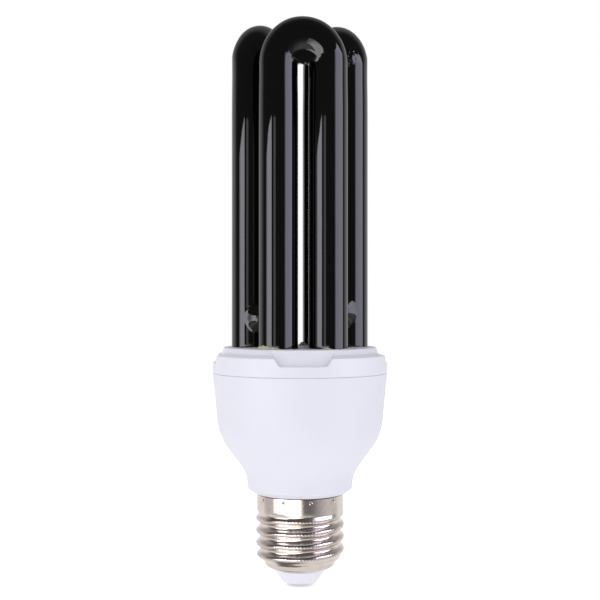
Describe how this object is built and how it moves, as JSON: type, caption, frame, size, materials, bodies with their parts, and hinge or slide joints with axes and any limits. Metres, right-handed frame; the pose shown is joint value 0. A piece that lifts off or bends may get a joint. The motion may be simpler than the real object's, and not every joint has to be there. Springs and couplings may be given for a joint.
{
  "type": "uv black light bulb",
  "caption": "Compact fluorescent black light bulb: black glass U-tubes on a white ballast housing with an E27 screw cap",
  "frame": {"origin": "middle of the centre contact's face, at the foot of the screw cap", "axes": "+Z along the lamp's axis from the cap to the tubes, -Y the front, where the first U-tube stands"},
  "size_m": [0.0518, 0.0518, 0.1673],
  "materials": {
    "black_glass": "glossy, near opaque to visible light",
    "cement": "matte",
    "white_plastic": "fine satin",
    "cap_plastic": "semi-gloss",
    "nickel": "nickel plate",
    "contact_metal": "dull",
    "board": "phenolic board",
    "ferrite": "matte",
    "copper": "enamelled wire",
    "black_plastic": "moulded",
    "capacitor_sleeve": "shrink sleeve",
    "film_dip": "dipped resin",
    "resistor_coat": "lacquer",
    "tinned_wire": "tinned",
    "wire_sleeve": "insulation"
  },
  "bodies": {
    "root": {"discharge_tube": "black_glass", "tube_cement": "cement", "tube_cover": "white_plastic", "ballast_housing": "white_plastic", "screw_shell": "nickel", "cap_insulator": "cap_plastic", "centre_contact": "contact_metal", "circuit_board": "board", "smoothing_capacitor": "capacitor_sleeve", "choke_core": "ferrite", "choke_bobbin": "black_plastic", "choke_winding": "copper", "drive_toroid": "ferrite", "toroid_windings": "copper", "transistors": "black_plastic", "rectifier_diodes": "black_plastic", "resistors": "resistor_coat", "trigger_diac": "film_dip", "fuse_resistor": "resistor_coat", "film_capacitors": "film_dip", "resonant_capacitor": "film_dip", "wrap_posts": "tinned_wire", "tube_leads": "tinned_wire", "shell_lead": "wire_sleeve", "contact_lead": "wire_sleeve"}
  },
  "joints": []
}
